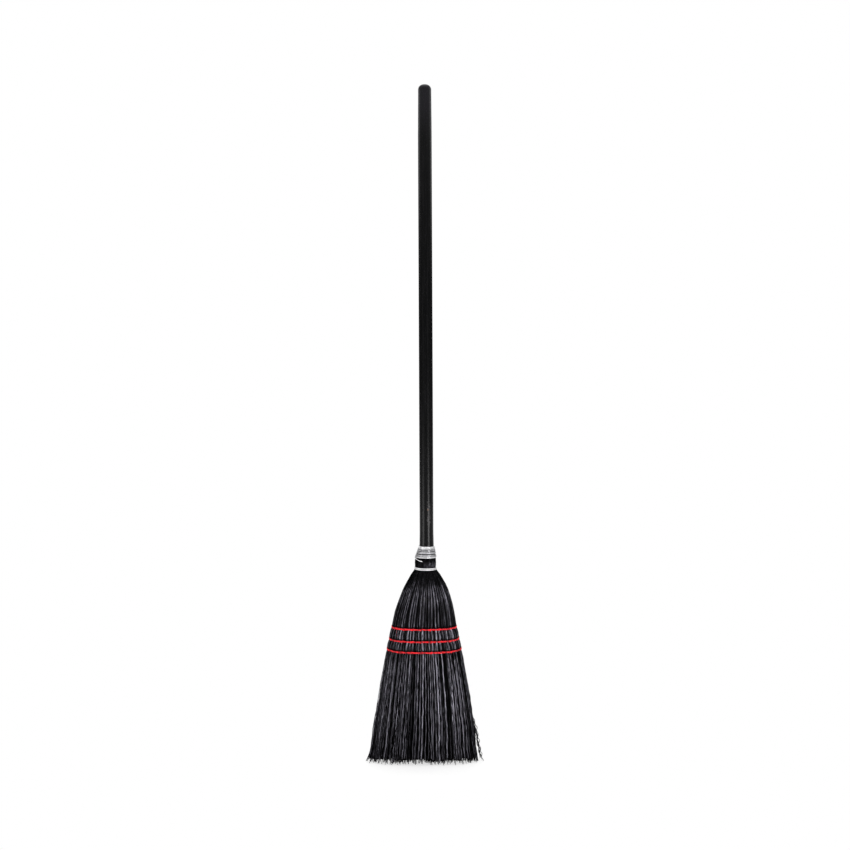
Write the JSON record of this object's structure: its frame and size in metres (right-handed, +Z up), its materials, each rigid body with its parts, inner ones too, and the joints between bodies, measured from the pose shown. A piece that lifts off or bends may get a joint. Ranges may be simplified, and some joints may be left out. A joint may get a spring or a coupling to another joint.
{
  "type": "lobby broom",
  "caption": "Upright lobby broom: a round black wood handle with a flat head of black plastic bristle, bound at the neck with wire and sewn with rows of red twine.",
  "frame": {"origin": "on the floor under the middle of the head, below the bristle tips", "axes": "+Z up along the handle, +X to the right as the flat front is seen, +Y from the front of the head to its back"},
  "size_m": [0.1596, 0.0561, 0.952],
  "materials": {
    "black_lacquered_wood": "black satin lacquer over wood grain",
    "black_bristle": "fine polypropylene filament with a slight sheen",
    "galvanised_wire": "bare galvanised wire",
    "tack_steel": "bare steel",
    "red_twine": "plied polypropylene twine"
  },
  "bodies": {
    "root": {"handle": "black_lacquered_wood", "wire_tack": "tack_steel", "core_bristles": "black_bristle", "core_wire": "galvanised_wire", "left_shoulder_bristles": "black_bristle", "right_shoulder_bristles": "black_bristle", "front_cover_bristles": "black_bristle", "back_cover_bristles": "black_bristle", "binding_wire": "galvanised_wire", "top_twine_wrap": "red_twine", "top_twine_lacing": "red_twine", "middle_twine_wrap": "red_twine", "middle_twine_lacing": "red_twine", "bottom_twine_wrap": "red_twine", "bottom_twine_lacing": "red_twine"}
  },
  "joints": []
}
